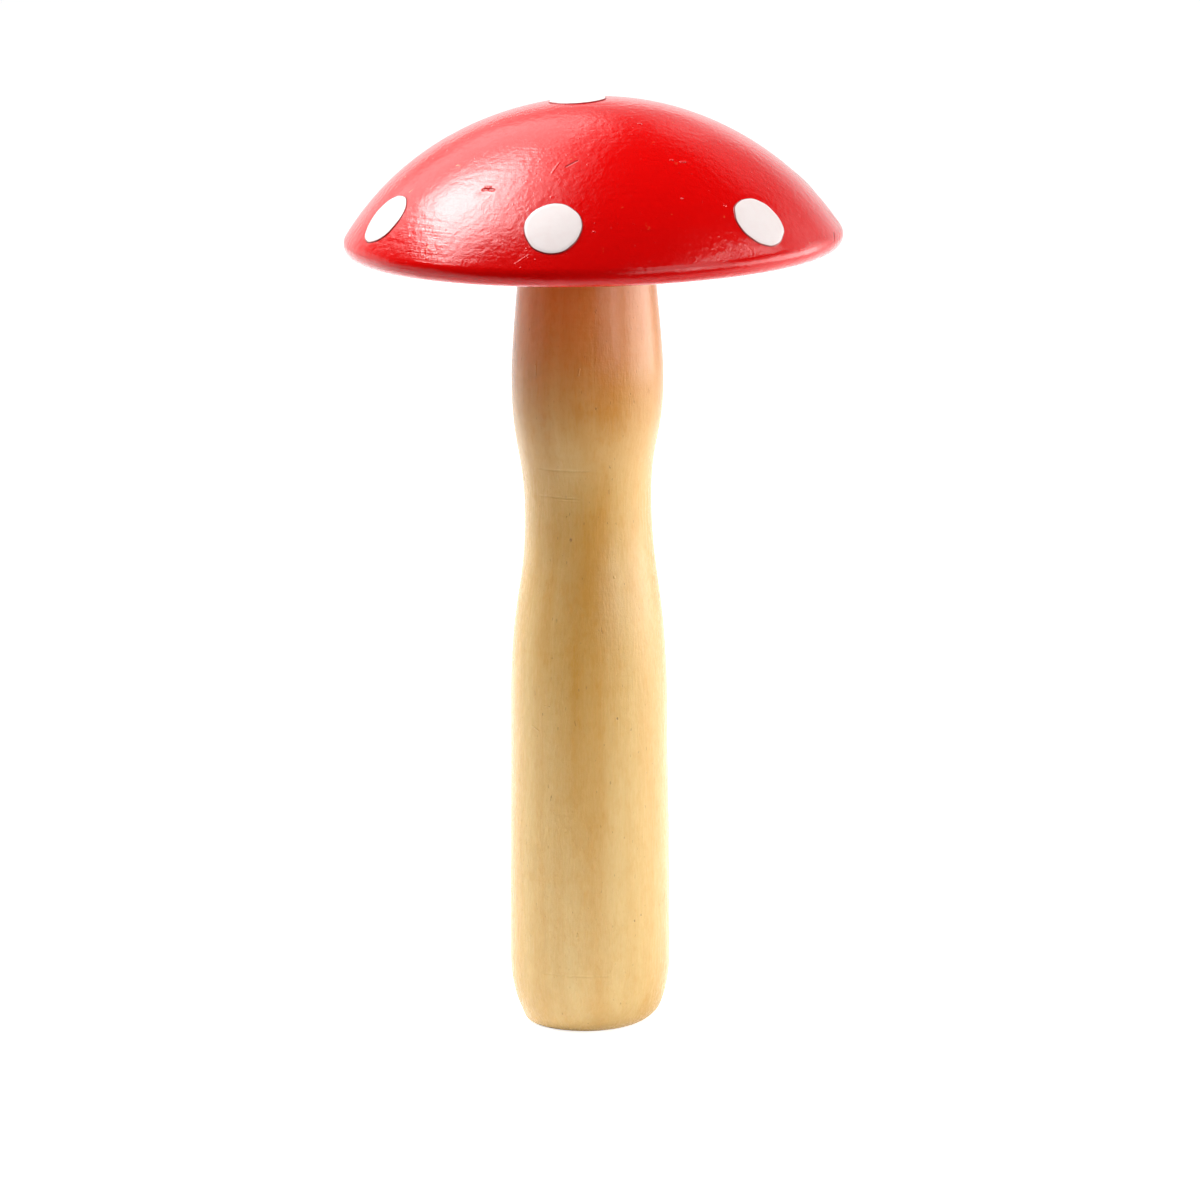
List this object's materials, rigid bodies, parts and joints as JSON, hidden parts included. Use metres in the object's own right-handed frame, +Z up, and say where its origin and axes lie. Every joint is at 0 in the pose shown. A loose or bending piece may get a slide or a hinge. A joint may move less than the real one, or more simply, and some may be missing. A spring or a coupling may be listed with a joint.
{
  "type": "darning mushroom",
  "caption": "Darning mushroom: a turned wooden stem with a domed, enamelled head pushed onto its tenon; a sock is stretched over the dome to be mended.",
  "frame": {"origin": "centre of the foot's flat, on the stem's centre line", "axes": "+Z up the stem to the head, +X to the viewer's right, -Y towards the viewer"},
  "size_m": [0.0514, 0.0514, 0.0977],
  "materials": {
    "bare_wood": "pale close-grained wood under a thin clear varnish",
    "red_enamel": "gloss red enamel brushed over solid wood",
    "white_enamel": "thick gloss white enamel, stamped on"
  },
  "bodies": {
    "stem": {"stem": "bare_wood"},
    "cap": {"cap": "red_enamel", "crown_spot": "white_enamel", "rim_spot_1": "white_enamel", "rim_spot_2": "white_enamel", "rim_spot_3": "white_enamel", "rim_spot_4": "white_enamel", "rim_spot_5": "white_enamel", "rim_spot_6": "white_enamel"}
  },
  "joints": [
    {"name": "cap_pull", "type": "slide", "parent": "stem", "child": "cap", "axis": [0, 0, 1], "range_m": [0, 0.012]}
  ]
}
